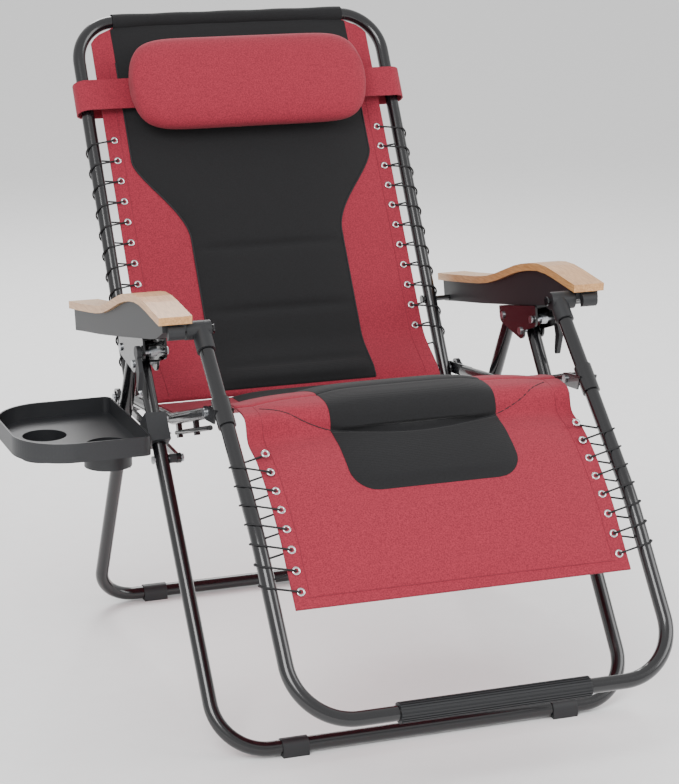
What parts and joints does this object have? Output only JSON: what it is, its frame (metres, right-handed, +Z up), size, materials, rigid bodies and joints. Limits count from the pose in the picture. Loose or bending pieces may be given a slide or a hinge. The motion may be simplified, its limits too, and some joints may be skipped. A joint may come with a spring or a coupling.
{
  "type": "zero gravity recliner",
  "caption": "Folding-frame reclining lounge chair with linked back, armrests and leg rest, a laced padded sling, a sliding headrest pillow and a clip-on cup tray.",
  "frame": {"origin": "on the floor, on the chair's symmetry plane, between the front and rear floor bars", "axes": "the chair faces -Y, +X is to its sitter's left, +Z is up; the tray is on -X"},
  "size_m": [1.0315, 1.4132, 1.1243],
  "materials": {
    "bracket_steel": "semi-gloss black powder coat",
    "bolt_steel": "plated",
    "cam_steel": "satin",
    "lever_plastic": "moulded black",
    "frame_tube": "gloss black powder coat",
    "clip_plastic": "moulded black",
    "tray_plastic": "moulded charcoal",
    "bush_plastic": "natural",
    "shell_plastic": "moulded black",
    "armrest_wood": "varnished tan",
    "seat_fabric": "heathered crimson weave",
    "lacing_cord": "braided elastic",
    "eyelet_chrome": "plated"
  },
  "bodies": {
    "chassis": {"bracket_left": "bracket_steel", "bracket_right": "bracket_steel", "leg_pivot_bolts": "bolt_steel", "slide_bushes": "bush_plastic", "front_leg_frame": "frame_tube", "front_floor_clips": "clip_plastic", "rear_leg_frame": "frame_tube", "rear_floor_clips": "clip_plastic", "tray": "tray_plastic", "tray_clamp": "tray_plastic", "tray_fork": "tray_plastic", "tray_screws": "bolt_steel", "link_bolts": "bolt_steel", "link_grommets": "lever_plastic"},
    "lever_left": {"lock_lever_left": "lever_plastic", "cam_rod_left": "cam_steel"},
    "lever_right": {"lock_lever_right": "lever_plastic", "cam_rod_right": "cam_steel"},
    "armrests": {"armrest_shell_left": "shell_plastic", "armrest_shell_right": "shell_plastic", "armrest_pad_left": "armrest_wood", "armrest_pad_right": "armrest_wood", "slide_rods": "cam_steel", "armrest_end_caps": "lever_plastic", "armrest_rear_bolts": "frame_tube", "armrest_front_bolts": "frame_tube"},
    "back": {"back_frame_tube": "frame_tube", "back_pivot_ferrules": "lever_plastic", "back_pad": "seat_fabric", "back_lacing_left": "lacing_cord", "back_lacing_right": "lacing_cord", "back_eyelets": "eyelet_chrome"},
    "headrest": {"headrest_pillow": "seat_fabric", "headrest_strap": "seat_fabric", "headrest_buckle": "lever_plastic"},
    "leg_rest": {"leg_rest_tube": "frame_tube", "leg_rest_thigh_tubes": "frame_tube", "upper_strut_left": "frame_tube", "upper_strut_right": "frame_tube", "strut_tees": "clip_plastic", "knee_collars": "bracket_steel", "foot_sleeve": "clip_plastic", "leg_pad": "seat_fabric", "leg_lacing_left": "lacing_cord", "leg_lacing_right": "lacing_cord", "leg_eyelets": "eyelet_chrome", "knee_bolts": "bolt_steel"},
    "seat_frame": {"seat_rail_left": "frame_tube", "seat_rail_right": "frame_tube", "seat_pad": "seat_fabric", "brace_rods": "frame_tube", "brace_lugs": "bracket_steel", "seat_back_bolts": "bolt_steel"},
    "links": {"link_rod_left": "frame_tube", "link_rod_right": "frame_tube"}
  },
  "joints": [
    {"name": "recline", "type": "hinge", "parent": "armrests", "child": "back", "pos_m": [0, 0.3038, 0.57174], "axis": [-1, 0, 0], "range_deg": [0, 38]},
    {"name": "armrest_slide", "type": "slide", "parent": "chassis", "child": "armrests", "axis": [0, 0.9806, -0.1959], "range_m": [0, 0.0619]},
    {"name": "leg_rest_lift", "type": "hinge", "parent": "armrests", "child": "leg_rest", "pos_m": [0, -0.263, 0.685], "axis": [-1, 0, 0], "range_deg": [0, 38.1]},
    {"name": "seat_swing", "type": "hinge", "parent": "leg_rest", "child": "seat_frame", "pos_m": [0, -0.33604, 0.561], "axis": [-1, 0, 0], "range_deg": [-38.1, 0]},
    {"name": "link_swing", "type": "hinge", "parent": "chassis", "child": "links", "pos_m": [0, -0.17126, 0.43743], "axis": [1, 0, 0], "range_deg": [0, 8.08]},
    {"name": "lock_lever_left_turn", "type": "hinge", "parent": "chassis", "child": "lever_left", "pos_m": [0, -0.11355, 0.61639], "axis": [-1, 0, 0], "range_deg": [0, 75]},
    {"name": "lock_lever_right_turn", "type": "hinge", "parent": "chassis", "child": "lever_right", "pos_m": [0, -0.11355, 0.61639], "axis": [-1, 0, 0], "range_deg": [0, 75]},
    {"name": "headrest_slide", "type": "slide", "parent": "back", "child": "headrest", "axis": [0, 0.5075, 0.8616], "range_m": [-0.15, 0.02]}
  ],
  "couplings": [
    {"joint": "armrest_slide", "follows": "recline", "m_per_rad": 0.0925},
    {"joint": "leg_rest_lift", "follows": "recline", "ratio": 1},
    {"joint": "seat_swing", "follows": "recline", "ratio": -1},
    {"joint": "link_swing", "follows": "recline", "ratio": 0.21}
  ]
}
